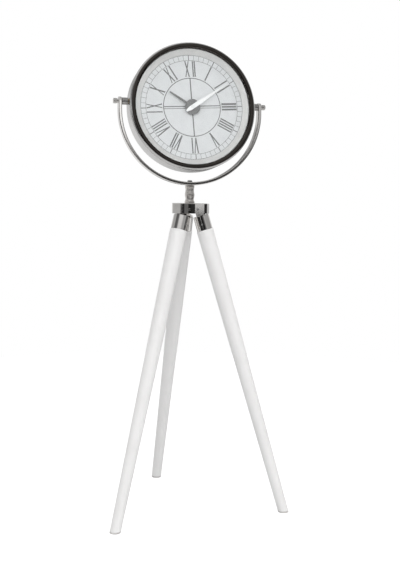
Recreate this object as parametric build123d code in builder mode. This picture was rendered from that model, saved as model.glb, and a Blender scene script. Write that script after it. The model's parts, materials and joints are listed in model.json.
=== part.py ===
from build123d import *
from math import atan2, cos, degrees, pi, radians, sin, sqrt
import os

os.makedirs("parts", exist_ok=True)

# A desk clock on a folding wooden tripod, in millimetres, drawn as it stands in the photograph.
# The origin is on the floor, at the middle of the box round the three feet.
# The clock faces -Y and the rear leg points to +Y.

# Tripod
leg_count = 3
leg_names = ("rear", "left", "right")
rear_azimuth = 90.0
full_turn = 360.0
half_turn = 180.0
quarter_turn = 90.0
hinge_height = 434.5
hinge_radius = 14.2
foot_radius = 144.3
leg_top_radius = 12.15
leg_foot_radius = 7.4
leg_shoulder_round = 1.6
foot_pad_height = 2.5
foot_pad_edge = 0.6

# Leg ferrule and its tongue, measured down the leg from the hinge pin
ferrule_length = 21.1
ferrule_radius = 11.4
ferrule_edge = 0.7
ferrule_wall = 2.4
ferrule_cap = 4.5
ferrule_stop_gap = 0.1
tongue_radius = 6.0
tongue_thickness = 8.0
tenon_clearance = 0.05
hinge_pin_radius = 2.0
ferrule_pin_radius = 1.5
pin_setback = 0.3
running_clearance = 0.05

# Hub
hub_drop = 6.0
hub_height = 14.6
hub_core_radius = 15.0
lobe_beyond_pin = 13.2
cheek_thickness = 6.8
lobe_corner = 4.0
hub_edge = 0.9
slot_side_clearance = 0.2
slot_end_clearance = 0.4
slot_beyond_pin = 9.0
slot_top_clearance = 0.35
nut_pocket_clearance = 0.43
nut_pocket_spare = 2.0

# Stem, which turns in the hub
spindle_radius = 4.0
spindle_thread_radius = 3.0
spindle_end_gap = 0.9
stem_height = 25.4
stem_base_radius = 7.2
stem_base_height = 2.2
stem_neck_radius = 6.0
stem_bulge_radius = 6.9
stem_body_radius = 6.2
stem_collar_radius = 6.6
stem_neck_share = 0.24
stem_bulge_share = 0.46
stem_body_share = 0.66
stem_collar_share = 0.88
swivel_washer_thickness = 0.8
swivel_washer_clearance = 0.3
swivel_nut_thickness = 4.2
swivel_nut_across_flats = 10.0
nut_sides = 6

# Yoke
yoke_yaw = -5.0
yoke_thickness = 4.8
yoke_width = 12.0
yoke_edge = 1.2
arm_above_pivot = 6.0
arm_end_flat = 0.4
pivot_rise = 10.6
yoke_screw_head_radius = 3.6
yoke_screw_head_height = 2.4
yoke_screw_head_round = 1.5
yoke_screw_radius = 1.9
yoke_screw_grip = 12.0
yoke_screw_key = 2.5
yoke_screw_key_depth = 1.3
screw_hole_clearance = 0.1

# Pivots
pivot_shaft_radius = 2.0
pivot_hole_clearance = 0.15
spacer_radius = 5.0
spacer_length = 9.2
spacer_edge = 0.5
boss_radius = 3.5
boss_flange_radius = 4.0
boss_length = 12.0
boss_proud = 0.3
boss_flange_setback = 1.6
knob_radius = 3.7
knob_length = 6.8
knob_collar_radius = 3.0
knob_collar_length = 1.6
knob_edge = 0.5
knob_flutes = 14
flute_radius = 0.45
shaft_tip_gap = 1.0

# Clock head, with depths measured forward from the pivot axis
head_tilt = 7.3
drum_drop = 5.9
drum_radius = 89.9
drum_wall = 1.0
drum_back = -24.0
drum_shoulder = 11.0
drum_flange_width = 18.9
rim_overhang = 0.7
rim_band_width = 8.2
rim_bead = 4.0
rim_skirt_depth = 3.4
rim_lip_depth = 3.0
rim_lip_round = 2.6
lens_seat_width = 1.8
lens_thickness = 2.0
lens_clearance = 0.2
lens_gap = 0.6
gasket_width = 2.0
gasket_thickness = 0.8
reflector_flange = 1.0
reflector_ledge = 2.2
reflector_slope_width = 7.2
reflector_wall = 1.2
reflector_foot_height = 0.4
dial_front = 6.5
dial_thickness = 1.0
dial_edge_clearance = 1.0
dial_hole_clearance = 0.1
skirt_clearance = 0.1
bead_depth = 1.4
bead_height = 1.2

# Rear cover
cover_overlap = 8.0
cover_thickness = 1.5
cover_edge = 0.7
window_margin = 2.5
window_corner = 5.0
cover_screw_count = 4
cover_screw_radius = 1.4
cover_screw_head_radius = 2.8
cover_screw_head_height = 1.6
cover_screw_length = 5.0
cover_screw_angle = 45.0
screw_recess_length = 3.2
screw_recess_width = 0.8
screw_recess_depth = 1.0

# Quartz movement, whose layers are depths in front of the pivot axis like the head's
case_corner = 3.0
case_wall = 1.5
cover_plate = 1.4
neck_radius = 4.0
neck_bore_clearance = 0.1
neck_reach = 2.5
train_room = 0.7
train_back_room = 1.7
bay_floor_wall = 1.0
bay_partition = 0.9
nut_across_flats = 11.0
nut_thickness = 1.8
washer_radius = 8.0
washer_thickness = 0.4
bearing_depth = 0.6

# Gears
gear_module = 0.33
centre_teeth = 64
intermediate_teeth = 60
train_pinion_teeth = 8
cannon_teeth = 12
motion_teeth = 36
motion_pinion_teeth = 10
hour_teeth = 40
setting_teeth = 12
addendum_share = 0.72
dedendum_share = 1.05
tooth_root_share = 0.56
tooth_pitch_share = 0.40
tooth_tip_share = 0.20
gear_thickness = 0.9
hour_layer_drop = 2.1
motion_layer_drop = 2.0
centre_layer_drop = 2.4
intermediate_layer_drop = 2.3
rotor_drop = 0.4
pinion_overlap = 0.3
intermediate_direction = 180.0
rotor_direction = 65.0
motion_direction = 0.0
setting_direction = 20.0
arbor_radius = 1.0
hour_pipe_radius = 2.1
hour_pipe_stand = 0.3
fine_arbor_radius = 0.6
motion_post_radius = 0.8
motion_post_end = 0.4
rotor_radius = 3.0
rotor_length = 2.2
setting_knob_radius = 6.0
setting_knob_thickness = 2.6
setting_knob_gap = 0.4
setting_flutes = 18

# Coil, stator, circuit and battery
stator_lift = 1.1
stator_thickness = 0.8
stator_bar = 4.0
stator_side_margin = 7.0
stator_top_margin = 3.0
stator_board_gap = 2.0
rotor_ring_wall = 2.2
rotor_hole_clearance = 0.4
coil_length = 19.0
bobbin_flange = 0.8
bobbin_radius = 3.1
winding_setback = 0.3
bobbin_core_radius = 2.2
core_clearance = 0.05
board_width = 12.0
board_height = 12.0
board_thickness = 1.0
board_side_margin = 1.0
board_top_margin = 1.5
chip_radius = 2.4
chip_height = 1.0
battery_radius = 7.1
battery_length = 49.0
battery_tip_radius = 2.7
battery_tip_length = 1.3
battery_edge = 0.8
battery_clearance = 0.2
contact_room = 1.35
contact_thickness = 0.4
contact_width = 9.0
contact_bump_radius = 2.2

# Hands
minute_shown = 9.8
minutes_in_hour = 60.0
hours_on_dial = 12.0
hour_shown = 10.0
dial_turn = 3.5
minute_hand_margin = 13.6
minute_hand_width = 6.2
minute_hand_boss = 2.2
minute_hand_gap = 0.6
hour_hand_shortfall = 22.5
hour_hand_width = 3.4
hour_hand_boss = 11.0
hour_hand_gap = 0.4
hand_thickness = 0.6
# Places along each hand as shares of its length, with the hand's width there as a share of the widest
minute_hand_shares = ((-0.19, 0.4), (-0.08, 0.92), (0.24, 1), (0.59, 0.5), (1, 0.14))
hour_hand_shares = ((0, 1), (0.6, 0.85), (1, 0.5))
cap_radius = 2.6
cap_height = 0.8
cap_edge = 0.3

# Planes and axes
front_reach_share = -sin(radians(rear_azimuth + full_turn / leg_count))
axis_y = -foot_radius * (1 - front_reach_share) / 2
leg_lean = degrees(atan2(foot_radius - hinge_radius, hinge_height))
hub_bottom = hinge_height - hub_drop
hub_top = hub_bottom + hub_height
lobe_reach = hinge_radius + lobe_beyond_pin
lobe_width = tongue_thickness + 2 * (slot_side_clearance + cheek_thickness)
boss_face = drum_radius + boss_proud
yoke_inner = boss_face + spacer_length
yoke_outer = yoke_inner + yoke_thickness
yoke_centre_height = hub_top + stem_height + yoke_outer
pivot_height = yoke_centre_height + pivot_rise

hub_plane = Plane((0, axis_y, hub_bottom))
tripod_axis = Axis((0, axis_y, 0), (0, 0, 1))
yoke_x = Vector(cos(radians(yoke_yaw)), sin(radians(yoke_yaw)), 0)
yoke_facing = Vector(sin(radians(yoke_yaw)), -cos(radians(yoke_yaw)), 0)
upward = Vector(0, 0, 1)
yoke_plane = Plane((0, axis_y, yoke_centre_height), x_dir=yoke_x, z_dir=yoke_facing)
# A section through the tripod's axis: x is the radius, y is the height over the floor.
stem_section = Plane((0, axis_y, 0), x_dir=(1, 0, 0), z_dir=(0, -1, 0))

head_facing = yoke_facing * cos(radians(head_tilt)) + upward * sin(radians(head_tilt))
head_plane = Plane((0, axis_y, pivot_height), x_dir=yoke_x, z_dir=head_facing)
drum_plane = Plane(
    head_plane.origin - head_plane.y_dir * drum_drop, x_dir=yoke_x, z_dir=head_facing
)
drum_axis = Axis(drum_plane.origin, drum_plane.z_dir)
# A section through the drum's axis: x is the radius, y is the depth in front of the pivots.
drum_section = Plane(drum_plane.origin, x_dir=yoke_x, z_dir=-drum_plane.y_dir)


def leg_frame(azimuth):
    """The plane of one leg: x points outward, y runs down the leg from its hinge pin."""
    out = Vector(cos(radians(azimuth)), sin(radians(azimuth)), 0)
    lean = radians(leg_lean)
    pin = Vector(0, axis_y, hinge_height) + out * hinge_radius
    x_dir = out * cos(lean) + upward * sin(lean)
    return Plane(pin, x_dir=x_dir, z_dir=upward.cross(out))


def pin_plane(azimuth):
    """The upright plane through one hinge pin, square to the pin."""
    return Plane(leg_frame(azimuth).origin, x_dir=upward, z_dir=leg_frame(azimuth).z_dir)


def pivot_plane(side):
    """The plane square to the pivot axis, whose z points out to one side."""
    return Plane(head_plane.origin, x_dir=yoke_facing, z_dir=yoke_x * side)


def arbor_plane(x, y):
    """A plane on one arbor of the movement, facing forward from the pivot axis."""
    place = drum_plane.origin + drum_plane.x_dir * x + drum_plane.y_dir * y
    return Plane(place, x_dir=yoke_x, z_dir=head_facing)


def polar(radius, angle):
    """A point on a circle, with its angle in degrees."""
    return (radius * cos(radians(angle)), radius * sin(radians(angle)))


def gear_points(teeth, module, turn):
    """The outline of a toothed wheel with a tooth at the angle turn."""
    pitch_radius = module * teeth / 2
    rings = (
        (pitch_radius - module * dedendum_share, tooth_root_share),
        (pitch_radius, tooth_pitch_share),
        (pitch_radius + module * addendum_share, tooth_tip_share),
    )
    pitch_angle = full_turn / teeth
    points = []
    for tooth in range(teeth):
        middle = turn + tooth * pitch_angle
        for radius, width in rings:
            points.append(polar(radius, middle - pitch_angle * width / 2))
        for radius, width in reversed(rings):
            points.append(polar(radius, middle + pitch_angle * width / 2))
    return points


def mesh_turn(direction, teeth, turn, follower_teeth):
    """The turn of a wheel that meshes with one whose teeth stand at turn."""
    pitch = full_turn / teeth
    share = ((direction - turn) / pitch) % 1
    follower_pitch = full_turn / follower_teeth
    return direction + half_turn - follower_pitch * (1 / 2 - share)


def toothed(plane, teeth, module, turn, thickness):
    """Adds a toothed wheel to the part being built."""
    with BuildSketch(plane) as wheel:
        with BuildLine():
            Polyline(*gear_points(teeth, module, turn), close=True)
        make_face()
    extrude(wheel.sketch, amount=thickness)


def rod(plane, radius, length, mode=Mode.ADD):
    """Adds or cuts a round rod that stands on a plane."""
    with BuildSketch(plane) as end:
        Circle(radius)
    extrude(end.sketch, amount=length, mode=mode)


def cross(length, width):
    """Adds a cross-shaped recess to the sketch being built."""
    Rectangle(length, width)
    Rectangle(width, length)


def hand_points(length, width, shares):
    """The outline of a hand that points along x, from its side below x to the one above."""
    below = [(length * along, -width * share / 2) for along, share in shares]
    above = [(length * along, width * share / 2) for along, share in reversed(shares)]
    return below + above


leg_azimuths = {
    name: rear_azimuth + full_turn * i / leg_count for i, name in enumerate(leg_names)
}

# The cast hub, with a slot for each leg's tongue and a pocket for the swivel's washer and nut
nut_corner_radius = swivel_nut_across_flats / 2 / cos(pi / nut_sides)
nut_pocket_radius = nut_corner_radius + nut_pocket_clearance
nut_pocket_depth = swivel_washer_thickness + swivel_nut_thickness + nut_pocket_spare
slot_inside = hinge_radius - tongue_radius - slot_end_clearance
slot_outside = hinge_radius + slot_beyond_pin
with BuildPart() as tripod_hub:
    with BuildSketch(hub_plane) as hub_outline:
        Circle(hub_core_radius)
        with PolarLocations(0, leg_count, start_angle=rear_azimuth):
            Rectangle(lobe_reach, lobe_width, align=(Align.MIN, Align.CENTER))
        corners = hub_outline.vertices().sort_by_distance((0, 0, 0))[-2 * leg_count :]
        fillet(corners, radius=lobe_corner)
    extrude(amount=hub_height)
    fillet(tripod_hub.faces().sort_by(Axis.Z)[-1].edges(), radius=hub_edge)
    slot_top = hub_drop + tongue_radius + slot_top_clearance
    with BuildSketch(hub_plane):
        with PolarLocations(0, leg_count, start_angle=rear_azimuth):
            with Locations((slot_inside, 0)):
                Rectangle(
                    slot_outside - slot_inside,
                    tongue_thickness + 2 * slot_side_clearance,
                    align=(Align.MIN, Align.CENTER),
                )
    extrude(amount=slot_top, mode=Mode.SUBTRACT)
    for azimuth in leg_azimuths.values():
        with BuildSketch(pin_plane(azimuth)):
            Circle(hinge_pin_radius)
        extrude(amount=lobe_width / 2, both=True, mode=Mode.SUBTRACT)
    rod(hub_plane, nut_pocket_radius, nut_pocket_depth, Mode.SUBTRACT)
    rod(hub_plane, spindle_radius + running_clearance, hub_height, Mode.SUBTRACT)
tripod_hub.part.label = "tripod_hub"
export_step(tripod_hub.part, "parts/tripod_hub.step")

# The three hinge pins, pressed into the hub's lobes
with BuildPart() as leg_hinge_pins:
    for azimuth in leg_azimuths.values():
        with BuildSketch(pin_plane(azimuth)):
            Circle(hinge_pin_radius)
        extrude(amount=lobe_width / 2 - pin_setback, both=True)
leg_hinge_pins.part.label = "leg_hinge_pins"
export_step(leg_hinge_pins.part, "parts/leg_hinge_pins.step")

# The legs: a ferrule with its tongue, a tapered wooden leg, a foot pad and a cross pin
# The ferrule's outer edge stops the leg when it meets the underside of the hub.
stop_rise = (ferrule_radius - ferrule_edge) * sin(radians(leg_lean))
ferrule_top = (hub_drop + ferrule_stop_gap + stop_rise) / cos(radians(leg_lean))
ferrule_end = ferrule_top + ferrule_length
tenon_radius = ferrule_radius - ferrule_wall
tenon_length = ferrule_length - ferrule_cap
leg_end = (hinge_height + leg_foot_radius) / cos(radians(leg_lean))
foot_distance = hinge_height / cos(radians(leg_lean))
taper = (leg_top_radius - leg_foot_radius) / (foot_distance - ferrule_end)
end_radius = leg_foot_radius - taper * (leg_end - foot_distance)
floor_plane = Plane.XY
pad_top_plane = Plane.XY.offset(foot_pad_height)

for name, azimuth in leg_azimuths.items():
    frame = leg_frame(azimuth)
    leg_axis = Axis(frame.origin, frame.y_dir)

    with BuildPart() as ferrule:
        with BuildSketch(frame):
            with BuildLine():
                Polyline(
                    (0, ferrule_top),
                    (ferrule_radius - ferrule_edge, ferrule_top),
                    (ferrule_radius, ferrule_top + ferrule_edge),
                    (ferrule_radius, ferrule_end),
                    (tenon_radius + tenon_clearance, ferrule_end),
                    (tenon_radius + tenon_clearance, ferrule_end - tenon_length),
                    (0, ferrule_end - tenon_length),
                    close=True,
                )
            make_face()
        revolve(axis=leg_axis)
        with BuildSketch(frame):
            Circle(tongue_radius)
            with Locations((0, 0)):
                Rectangle(
                    2 * tongue_radius,
                    ferrule_top + ferrule_edge,
                    align=(Align.CENTER, Align.MIN),
                )
        extrude(amount=tongue_thickness / 2, both=True)
        with BuildSketch(frame):
            Circle(hinge_pin_radius + running_clearance)
            with Locations((0, ferrule_end - tenon_length / 2)):
                Circle(ferrule_pin_radius)
        extrude(amount=ferrule_radius, both=True, mode=Mode.SUBTRACT)
    ferrule.part.label = f"ferrule_{name}"
    export_step(ferrule.part, f"parts/ferrule_{name}.step")

    with BuildPart() as leg:
        with BuildSketch(frame):
            with BuildLine():
                Polyline(
                    (0, ferrule_end - tenon_length + tenon_clearance),
                    (tenon_radius, ferrule_end - tenon_length + tenon_clearance),
                    (tenon_radius, ferrule_end),
                    (leg_top_radius - leg_shoulder_round, ferrule_end),
                )
                CenterArc(
                    (leg_top_radius - leg_shoulder_round, ferrule_end + leg_shoulder_round),
                    leg_shoulder_round,
                    -quarter_turn,
                    quarter_turn,
                )
                Polyline(
                    (leg_top_radius, ferrule_end + leg_shoulder_round),
                    (end_radius, leg_end),
                    (0, leg_end),
                    (0, ferrule_end - tenon_length + tenon_clearance),
                )
            make_face()
        revolve(axis=leg_axis)
        with BuildSketch(frame):
            with Locations((0, ferrule_end - tenon_length / 2)):
                Circle(ferrule_pin_radius)
        extrude(amount=ferrule_radius, both=True, mode=Mode.SUBTRACT)
        split(bisect_by=pad_top_plane, keep=Keep.TOP)
    leg.part.label = f"leg_{name}"
    export_step(leg.part, f"parts/leg_{name}.step")

    with BuildPart() as foot_pad:
        with BuildSketch(frame):
            with BuildLine():
                Polyline(
                    (0, ferrule_end),
                    (leg_top_radius, ferrule_end),
                    (end_radius, leg_end),
                    (0, leg_end),
                    close=True,
                )
            make_face()
        revolve(axis=leg_axis)
        split(bisect_by=pad_top_plane, keep=Keep.BOTTOM)
        split(bisect_by=floor_plane, keep=Keep.TOP)
        fillet(foot_pad.faces().sort_by(Axis.Z)[0].edges(), radius=foot_pad_edge)
    foot_pad.part.label = f"foot_pad_{name}"
    export_step(foot_pad.part, f"parts/foot_pad_{name}.step")

    with BuildPart() as ferrule_pin:
        with BuildSketch(frame):
            with Locations((0, ferrule_end - tenon_length / 2)):
                Circle(ferrule_pin_radius)
        extrude(amount=ferrule_radius - pin_setback, both=True)
    ferrule_pin.part.label = f"ferrule_pin_{name}"
    export_step(ferrule_pin.part, f"parts/ferrule_pin_{name}.step")

# The turned stem, with the spindle that turns in the hub
nut_seat = hub_bottom + nut_pocket_depth
spindle_end = hub_bottom + spindle_end_gap
stem_top = hub_top + stem_height
collar_height = hub_top + stem_height * stem_collar_share
with BuildPart() as stem:
    with BuildSketch(stem_section):
        with BuildLine():
            Polyline(
                (0, stem_top),
                (0, spindle_end),
                (spindle_thread_radius, spindle_end),
                (spindle_thread_radius, nut_seat),
                (spindle_radius, nut_seat),
                (spindle_radius, hub_top),
                (stem_base_radius, hub_top),
                (stem_base_radius, hub_top + stem_base_height),
            )
            Spline(
                (stem_base_radius, hub_top + stem_base_height),
                (stem_neck_radius, hub_top + stem_height * stem_neck_share),
                (stem_bulge_radius, hub_top + stem_height * stem_bulge_share),
                (stem_body_radius, hub_top + stem_height * stem_body_share),
                (stem_collar_radius, collar_height),
            )
            Polyline(
                (stem_collar_radius, collar_height),
                (stem_collar_radius, stem_top),
                (0, stem_top),
            )
        make_face()
    revolve(axis=tripod_axis)
    rod(Plane((0, axis_y, stem_top)), yoke_screw_radius, -yoke_screw_grip, Mode.SUBTRACT)
stem.part.label = "stem"
export_step(stem.part, "parts/stem.step")

# The washer and nut that hold the spindle in the hub's pocket
with BuildPart() as swivel_washer:
    with BuildSketch(Plane((0, axis_y, nut_seat))):
        Circle(nut_pocket_radius - swivel_washer_clearance)
        Circle(spindle_thread_radius, mode=Mode.SUBTRACT)
    extrude(amount=-swivel_washer_thickness)
swivel_washer.part.label = "swivel_washer"
export_step(swivel_washer.part, "parts/swivel_washer.step")

with BuildPart() as swivel_nut:
    with BuildSketch(Plane((0, axis_y, nut_seat - swivel_washer_thickness))):
        RegularPolygon(swivel_nut_across_flats / 2, nut_sides, major_radius=False)
        Circle(spindle_thread_radius, mode=Mode.SUBTRACT)
    extrude(amount=-swivel_nut_thickness)
swivel_nut.part.label = "swivel_nut"
export_step(swivel_nut.part, "parts/swivel_nut.step")

# The yoke, a flat strap bent to a half ring with straight arm ends
arm_rise = pivot_rise + arm_above_pivot
with BuildPart() as yoke:
    with BuildSketch(yoke_plane.offset(-yoke_width / 2)):
        with BuildLine():
            Line((yoke_outer, arm_rise), (yoke_outer, 0))
            CenterArc((0, 0), yoke_outer, 0, -half_turn)
            Polyline(
                (-yoke_outer, 0),
                (-yoke_outer, arm_rise),
                (-yoke_inner, arm_rise),
                (-yoke_inner, 0),
            )
            CenterArc((0, 0), yoke_inner, half_turn, half_turn)
            Polyline((yoke_inner, 0), (yoke_inner, arm_rise), (yoke_outer, arm_rise))
        make_face()
    extrude(amount=yoke_width)
    across = Axis(yoke_plane.origin, yoke_x)
    arm_ends = yoke.edges().filter_by(across).group_by(Axis.Z)[-1]
    fillet(arm_ends, radius=yoke_width / 2 - arm_end_flat)
    flat_sides = yoke.faces().filter_by(Axis(yoke_plane.origin, yoke_facing))
    fillet(flat_sides.edges(), radius=yoke_edge)
    for side in (1, -1):
        rod(
            pivot_plane(side),
            pivot_shaft_radius + pivot_hole_clearance,
            yoke_outer,
            Mode.SUBTRACT,
        )
    rod(
        Plane((0, axis_y, stem_top)),
        yoke_screw_radius + screw_hole_clearance,
        2 * yoke_thickness,
        Mode.SUBTRACT,
    )
yoke.part.label = "yoke"
export_step(yoke.part, "parts/yoke.step")

# The screw that fastens the yoke to the stem
head_lift = yoke_inner - sqrt(yoke_inner**2 - yoke_screw_head_radius**2)
screw_seat = stem_top + yoke_thickness + head_lift
with BuildPart() as yoke_screw:
    rod(
        Plane((0, axis_y, screw_seat)), yoke_screw_head_radius, yoke_screw_head_height
    )
    crown = yoke_screw.faces().sort_by(Axis.Z)[-1].edges()
    fillet(crown, radius=yoke_screw_head_round)
    rod(
        Plane((0, axis_y, screw_seat)),
        yoke_screw_radius,
        stem_top - yoke_screw_grip - screw_seat,
    )
    with BuildSketch(Plane((0, axis_y, screw_seat + yoke_screw_head_height))):
        RegularPolygon(yoke_screw_key / 2, nut_sides, major_radius=False)
    extrude(amount=-yoke_screw_key_depth, mode=Mode.SUBTRACT)
yoke_screw.part.label = "yoke_screw"
export_step(yoke_screw.part, "parts/yoke_screw.step")

# The pivots: a threaded boss in the drum, a spacer and a fluted thumb screw on each side
boss_start = boss_face - boss_length
for side, name in ((-1, "left"), (1, "right")):
    with BuildPart() as pivot_boss:
        rod(pivot_plane(side).offset(boss_start), boss_radius, boss_length)
        rod(
            pivot_plane(side).offset(boss_start),
            boss_flange_radius,
            drum_radius - boss_flange_setback - boss_start,
        )
        rod(
            pivot_plane(side).offset(boss_start),
            pivot_shaft_radius + running_clearance,
            boss_length,
            Mode.SUBTRACT,
        )
    pivot_boss.part.label = f"pivot_boss_{name}"
    export_step(pivot_boss.part, f"parts/pivot_boss_{name}.step")

    with BuildPart() as pivot_spacer:
        rod(pivot_plane(side).offset(boss_face), spacer_radius, spacer_length)
        chamfer(pivot_spacer.edges().filter_by(GeomType.CIRCLE), length=spacer_edge)
        rod(
            pivot_plane(side).offset(boss_face),
            pivot_shaft_radius + pivot_hole_clearance,
            spacer_length,
            Mode.SUBTRACT,
        )
    pivot_spacer.part.label = f"pivot_spacer_{name}"
    export_step(pivot_spacer.part, f"parts/pivot_spacer_{name}.step")

    with BuildPart() as pivot_knob:
        shaft_start = boss_start + shaft_tip_gap
        barrel_plane = pivot_plane(side).offset(yoke_outer + knob_collar_length)
        barrel_length = knob_length - knob_collar_length
        rod(barrel_plane, knob_radius, barrel_length)
        chamfer(pivot_knob.edges().filter_by(GeomType.CIRCLE), length=knob_edge)
        with BuildSketch(barrel_plane):
            with PolarLocations(knob_radius, knob_flutes):
                Circle(flute_radius)
        extrude(amount=barrel_length, mode=Mode.SUBTRACT)
        rod(pivot_plane(side).offset(yoke_outer), knob_collar_radius, knob_collar_length)
        rod(
            pivot_plane(side).offset(shaft_start),
            pivot_shaft_radius,
            yoke_outer - shaft_start,
        )
    pivot_knob.part.label = f"pivot_knob_{name}"
    export_step(pivot_knob.part, f"parts/pivot_knob_{name}.step")

# The depths of the head's pieces, from the dial forward
dial_back = dial_front - dial_thickness
neck_front = dial_front + neck_reach
hour_hand_back = neck_front + hour_hand_gap
hour_pipe_front = hour_hand_back + hand_thickness + hour_pipe_stand
minute_hand_back = hour_pipe_front + minute_hand_gap
cap_back = minute_hand_back + hand_thickness
lens_back = cap_back + cap_height + lens_gap
lens_front = lens_back + lens_thickness
rim_back = dial_front + rim_skirt_depth
rim_front = lens_front + rim_lip_depth

# The drum, a spun can with a rounded rear shoulder
inner_radius = drum_radius - drum_wall
shoulder_radius = drum_radius - drum_shoulder
shoulder_depth = drum_back + drum_shoulder
drum_flange_radius = shoulder_radius - drum_flange_width
cover_screw_circle = drum_flange_radius + cover_overlap / 2
with BuildPart() as drum:
    with BuildSketch(drum_section):
        with BuildLine():
            Line((drum_flange_radius, drum_back), (shoulder_radius, drum_back))
            CenterArc(
                (shoulder_radius, shoulder_depth), drum_shoulder, -quarter_turn, quarter_turn
            )
            Polyline(
                (drum_radius, shoulder_depth),
                (drum_radius, rim_back),
                (inner_radius, rim_back),
                (inner_radius, dial_back),
                (inner_radius - bead_depth, dial_back),
                (inner_radius - bead_depth, dial_back - bead_height),
                (inner_radius, dial_back - bead_height),
                (inner_radius, shoulder_depth),
            )
            CenterArc(
                (shoulder_radius, shoulder_depth),
                drum_shoulder - drum_wall,
                0,
                -quarter_turn,
            )
            Polyline(
                (shoulder_radius, drum_back + drum_wall),
                (drum_flange_radius, drum_back + drum_wall),
                (drum_flange_radius, drum_back),
            )
        make_face()
    revolve(axis=drum_axis)
    for side in (1, -1):
        rod(pivot_plane(side), boss_radius, drum_radius, Mode.SUBTRACT)
    with BuildSketch(drum_plane.offset(drum_back)):
        with PolarLocations(
            cover_screw_circle, cover_screw_count, start_angle=cover_screw_angle
        ):
            Circle(cover_screw_radius)
    extrude(amount=drum_wall, mode=Mode.SUBTRACT)
drum.part.label = "drum"
export_step(drum.part, "parts/drum.step")

# The dark front rim, whose lip holds the glass and whose skirt holds the dial
rim_radius = drum_radius + rim_overhang
rim_lip_radius = rim_radius - rim_band_width
lens_seat_radius = rim_lip_radius + lens_seat_width
skirt_radius = inner_radius - skirt_clearance
bead_radius = rim_radius - rim_bead
lip_start = rim_lip_radius + rim_lip_round
with BuildPart() as front_rim:
    with BuildSketch(drum_section):
        with BuildLine():
            Line((rim_radius, rim_back), (rim_radius, rim_front - rim_bead))
            CenterArc((bead_radius, rim_front - rim_bead), rim_bead, 0, quarter_turn)
            Line((bead_radius, rim_front), (lip_start, rim_front))
            CenterArc(
                (lip_start, rim_front - rim_lip_round),
                rim_lip_round,
                quarter_turn,
                quarter_turn,
            )
            Polyline(
                (rim_lip_radius, rim_front - rim_lip_round),
                (rim_lip_radius, lens_front),
                (lens_seat_radius, lens_front),
                (lens_seat_radius, dial_front),
                (skirt_radius, dial_front),
                (skirt_radius, rim_back),
                (rim_radius, rim_back),
            )
        make_face()
    revolve(axis=drum_axis)
front_rim.part.label = "front_rim"
export_step(front_rim.part, "parts/front_rim.step")

# The glass, its gasket and the bright sloped ring round the dial
lens_radius = lens_seat_radius - lens_clearance
reflector_top_radius = lens_radius - reflector_ledge
reflector_foot_radius = reflector_top_radius - reflector_slope_width
gasket_back = lens_back - gasket_thickness
with BuildPart() as lens:
    with BuildSketch(drum_plane.offset(lens_back)):
        Circle(lens_radius)
    extrude(amount=lens_thickness)
lens.part.label = "lens"
export_step(lens.part, "parts/lens.step")

with BuildPart() as lens_gasket:
    with BuildSketch(drum_plane.offset(gasket_back)):
        Circle(lens_radius)
        Circle(lens_radius - gasket_width, mode=Mode.SUBTRACT)
    extrude(amount=gasket_thickness)
lens_gasket.part.label = "lens_gasket"
export_step(lens_gasket.part, "parts/lens_gasket.step")

with BuildPart() as reflector_ring:
    with BuildSketch(drum_section):
        with BuildLine():
            Polyline(
                (lens_radius, gasket_back),
                (reflector_top_radius, gasket_back),
                (reflector_foot_radius, dial_front + reflector_foot_height),
                (reflector_foot_radius, dial_front),
                (reflector_foot_radius + reflector_wall, dial_front),
                (reflector_top_radius + reflector_wall, gasket_back - reflector_flange),
                (lens_radius, gasket_back - reflector_flange),
                close=True,
            )
        make_face()
    revolve(axis=drum_axis)
reflector_ring.part.label = "reflector_ring"
export_step(reflector_ring.part, "parts/reflector_ring.step")

# The dial
with BuildPart() as dial:
    with BuildSketch(drum_plane.offset(dial_back)):
        Circle(inner_radius - dial_edge_clearance)
        Circle(neck_radius + dial_hole_clearance, mode=Mode.SUBTRACT)
    extrude(amount=dial_thickness)
dial.part.label = "dial"
export_step(dial.part, "parts/dial.step")

# The size of the movement's case, which holds the gear train beside the battery's bay
case_front = dial_back - cover_plate
hour_layer = case_front - hour_layer_drop
motion_layer = hour_layer - motion_layer_drop
centre_layer = motion_layer - centre_layer_drop
intermediate_layer = centre_layer - intermediate_layer_drop
rotor_front = intermediate_layer - rotor_drop
rotor_back = rotor_front - rotor_length
train_depth = case_front - rotor_back + train_back_room + case_wall
bay_height = 2 * (battery_radius + battery_clearance)
case_back = case_front - max(bay_height, train_depth)
centre_wheel_radius = gear_module * (centre_teeth / 2 + addendum_share)
bay_length = battery_length + battery_tip_length + 2 * contact_room
room_above = centre_wheel_radius + train_room
room_below = bay_floor_wall + bay_height + bay_partition
case_size = max(bay_length + 2 * case_wall, 2 * (room_above + room_below))

# The rear cover, with a window to the battery and the setting knob
window_size = case_size + 2 * window_margin
with BuildPart() as rear_cover:
    with BuildSketch(drum_plane.offset(drum_back)):
        Circle(drum_flange_radius + cover_overlap)
    extrude(amount=-cover_thickness)
    chamfer(
        rear_cover.edges().sort_by_distance(drum_plane.origin)[-1:], length=cover_edge
    )
    with BuildSketch(drum_plane.offset(drum_back)):
        RectangleRounded(window_size, window_size, window_corner)
        with PolarLocations(
            cover_screw_circle, cover_screw_count, start_angle=cover_screw_angle
        ):
            Circle(cover_screw_radius)
    extrude(amount=-cover_thickness, mode=Mode.SUBTRACT)
rear_cover.part.label = "rear_cover"
export_step(rear_cover.part, "parts/rear_cover.step")

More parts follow.
